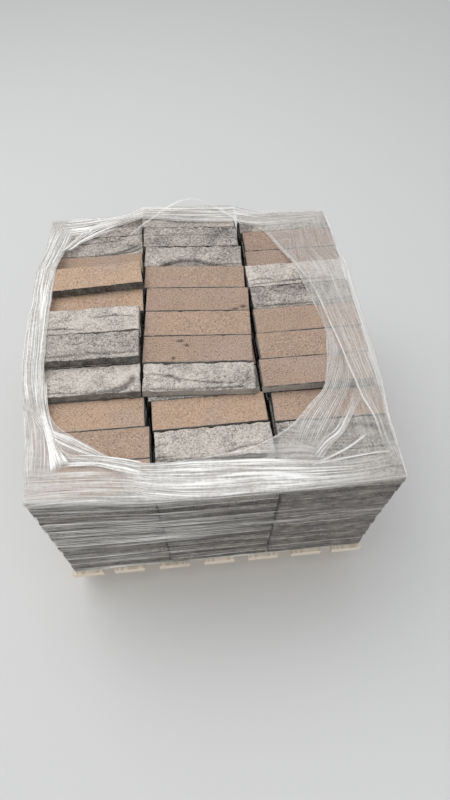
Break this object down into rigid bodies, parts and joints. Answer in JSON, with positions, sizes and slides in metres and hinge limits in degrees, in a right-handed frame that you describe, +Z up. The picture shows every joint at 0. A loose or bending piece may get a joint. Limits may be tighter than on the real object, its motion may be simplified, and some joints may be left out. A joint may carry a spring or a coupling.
{
  "type": "pallet of brick slips",
  "caption": "Loaded pallet of brick slips: thin facing bricks stacked flat in columns on a timber pallet, wound in stretch film that leaves an oval opening on top.",
  "frame": {"origin": "on the floor, under the middle of the pallet, on the underside of its middle runner", "axes": "+X across the load, +Y along the deck boards from the front of the load to its back, +Z up"},
  "size_m": [0.6828, 0.7591, 0.5273],
  "materials": {
    "brick": "hand-moulded grey face, sawn red-brown back",
    "deck_timber": "new sawn softwood",
    "runner_timber": "sawn softwood",
    "film": "clear stretch film, wrinkled"
  },
  "bodies": {
    "root": {"runner_front": "runner_timber", "runner_middle": "runner_timber", "runner_back": "runner_timber", "deck_board_1": "deck_timber", "deck_board_2": "deck_timber", "deck_board_3": "deck_timber", "deck_board_4": "deck_timber", "deck_board_5": "deck_timber", "deck_board_6": "deck_timber", "deck_board_7": "deck_timber", "slip_course_01": "brick", "slip_course_02": "brick", "slip_course_03": "brick", "slip_course_04": "brick", "slip_course_05": "brick", "slip_course_06": "brick", "slip_course_07": "brick", "slip_course_08": "brick", "slip_course_09": "brick", "slip_course_10": "brick", "slip_course_11": "brick", "slip_course_12": "brick", "slip_course_13": "brick", "slip_course_14": "brick", "slip_course_15": "brick", "slip_course_16": "brick", "slip_course_17": "brick", "slip_course_18": "brick", "slip_course_19": "brick", "stretch_film": "film"}
  },
  "joints": []
}
